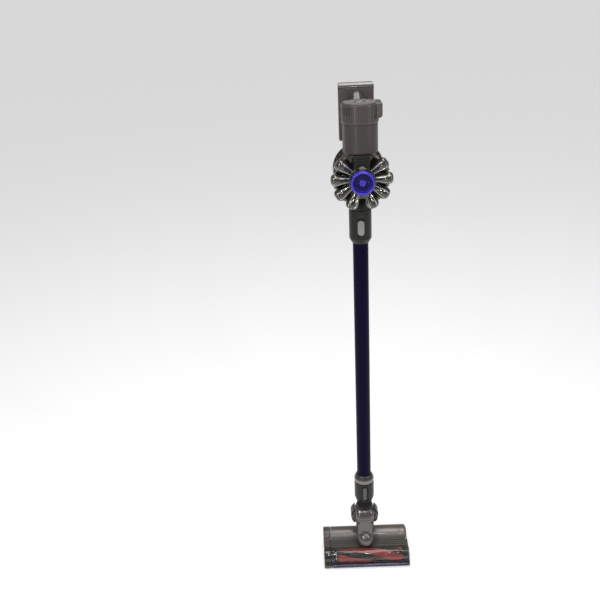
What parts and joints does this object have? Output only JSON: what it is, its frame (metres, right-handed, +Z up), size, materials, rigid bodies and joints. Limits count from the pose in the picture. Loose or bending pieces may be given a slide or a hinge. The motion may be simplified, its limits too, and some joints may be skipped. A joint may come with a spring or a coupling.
{
  "type": "cordless stick vacuum",
  "caption": "Upright cordless stick vacuum with a radial cyclone pack, clear bin, wand and powered brush head on a pitching neck.",
  "frame": {"origin": "on the floor, centred under the overall box, with the wand on the Z axis", "axes": "+Z up along the wand, +Y to the user's side where the handle and battery are, +X to the right seen from the filter side"},
  "size_m": [0.223, 0.208, 1.208],
  "materials": {
    "casing_grey": "satin moulded plastic, brown-grey",
    "silver_grey": "glossy painted plastic, silver-grey",
    "collar_black": "satin moulded plastic, near black",
    "smoked_clear": "clear smoked plastic, polished",
    "filter_blue": "satin moulded plastic, violet-blue",
    "wand_purple": "anodised, very dark purple",
    "button_grey": "satin plastic, light grey",
    "red_plastic": "satin plastic, red",
    "bristle_red": "tufts of nylon bristle, red",
    "lip_navy": "satin plastic, navy-grey",
    "soft_black": "matt rubber",
    "bright_steel": "machined steel",
    "copper_coil": "lacquered winding",
    "board_green": "lacquered board",
    "filter_foam": "open foam",
    "cell_blue": "shrink sleeve over a steel cell"
  },
  "bodies": {
    "machine_and_wand": {"motor_casing": "casing_grey", "exhaust_cap": "casing_grey", "motor_stator": "copper_coil", "control_board": "board_green", "exhaust_foam": "filter_foam", "grip_left": "casing_grey", "grip_right": "casing_grey", "trigger_spring": "bright_steel", "battery_case": "casing_grey", "battery_lid": "casing_grey", "battery_cell_1": "cell_blue", "battery_cell_2": "cell_blue", "battery_cell_3": "cell_blue", "battery_cell_4": "cell_blue", "battery_cell_5": "cell_blue", "battery_cell_6": "cell_blue", "motor_inlet_duct": "casing_grey", "cyclone_hub": "smoked_clear", "cyclone_cones_front": "smoked_clear", "cyclone_cones_rear": "smoked_clear", "cyclone_base": "smoked_clear", "shroud": "bright_steel", "bin": "smoked_clear", "bin_hinge_pin": "bright_steel", "machine_inlet": "collar_black", "wand_upper_collar": "collar_black", "wand_tube": "wand_purple", "wand_wire_channel": "collar_black", "wand_lower_end": "silver_grey", "head_collar": "collar_black", "neck_seal_ring": "soft_black", "yoke": "collar_black"},
    "motor_rotor": {"rotor_shaft": "bright_steel", "impeller": "bright_steel"},
    "boost_button": {"boost_button": "button_grey"},
    "trigger": {"trigger": "red_plastic"},
    "filter": {"filter_cap": "filter_blue", "filter_stick": "filter_foam"},
    "bin_door": {"bin_door": "smoked_clear"},
    "bin_catch": {"bin_catch": "red_plastic"},
    "wand_release": {"wand_release_button": "button_grey"},
    "head_release": {"head_release_button": "button_grey"},
    "neck": {"elbow": "silver_grey"},
    "head": {"head_drum": "silver_grey", "head_deck": "casing_grey", "soleplate": "collar_black", "brush_window": "smoked_clear", "front_lip": "lip_navy", "left_end_cap": "casing_grey", "gear_plate": "collar_black", "right_end_wall": "smoked_clear", "drive_belt": "soft_black", "brush_motor": "bright_steel"},
    "brush": {"brush_core": "collar_black", "bristle_strip_1": "bristle_red", "bristle_strip_2": "bristle_red", "brush_pulley": "bright_steel"},
    "motor_pulley": {"motor_pulley": "bright_steel"},
    "wheel_left": {"rear_wheel_left": "soft_black"},
    "wheel_right": {"rear_wheel_right": "soft_black"}
  },
  "joints": [
    {"name": "rotor_spin", "type": "hinge", "parent": "machine_and_wand", "child": "motor_rotor", "pos_m": [0, -0.035, 1.115], "axis": [0, 0, 1], "continuous": true},
    {"name": "boost_press", "type": "slide", "parent": "machine_and_wand", "child": "boost_button", "axis": [0, 0, -1], "range_m": [0, 0.0015], "stiffness_N_per_m": 400, "springref_m": -0.002},
    {"name": "trigger_pull", "type": "slide", "parent": "machine_and_wand", "child": "trigger", "axis": [0, 0, 1], "range_m": [0, 0.004], "stiffness_N_per_m": 500, "springref_m": -0.003, "deforming": ["trigger_spring"]},
    {"name": "filter_pull", "type": "slide", "parent": "machine_and_wand", "child": "filter", "axis": [0, -1, 0], "range_m": [0, 0.09]},
    {"name": "bin_door_swing", "type": "hinge", "parent": "machine_and_wand", "child": "bin_door", "pos_m": [0, 0.042, 0.97], "axis": [-1, 0, 0], "range_deg": [0, 95]},
    {"name": "bin_catch_lift", "type": "hinge", "parent": "machine_and_wand", "child": "bin_catch", "pos_m": [0, 0.027, 1.091], "axis": [1, 0, 0], "range_deg": [0, 14], "stiffness_Nm_per_rad": 0.1, "springref_deg": -11.46},
    {"name": "wand_release_press", "type": "slide", "parent": "machine_and_wand", "child": "wand_release", "axis": [0, 1, 0], "range_m": [0, 0.0016], "stiffness_N_per_m": 800, "springref_m": -0.001},
    {"name": "head_release_press", "type": "slide", "parent": "machine_and_wand", "child": "head_release", "axis": [0, 1, 0], "range_m": [0, 0.0016], "stiffness_N_per_m": 800, "springref_m": -0.001},
    {"name": "neck_pitch", "type": "hinge", "parent": "machine_and_wand", "child": "neck", "pos_m": [0, 0.005, 0.11], "axis": [1, 0, 0], "range_deg": [0, 80]},
    {"name": "head_roll", "type": "hinge", "parent": "neck", "child": "head", "pos_m": [0, -0.028, 0.055], "axis": [0, 1, 0], "range_deg": [-25, 25]},
    {"name": "brush_spin", "type": "hinge", "parent": "head", "child": "brush", "pos_m": [0.009, -0.05, 0.0195], "axis": [1, 0, 0], "continuous": true},
    {"name": "pulley_spin", "type": "hinge", "parent": "head", "child": "motor_pulley", "pos_m": [-0.101, 0.013, 0.029], "axis": [1, 0, 0], "continuous": true},
    {"name": "wheel_left_spin", "type": "hinge", "parent": "head", "child": "wheel_left", "pos_m": [-0.077, 0.035, 0.005], "axis": [1, 0, 0], "continuous": true},
    {"name": "wheel_right_spin", "type": "hinge", "parent": "head", "child": "wheel_right", "pos_m": [0.077, 0.035, 0.005], "axis": [1, 0, 0], "continuous": true}
  ],
  "couplings": [
    {"joint": "pulley_spin", "follows": "brush_spin", "ratio": 1.5}
  ]
}
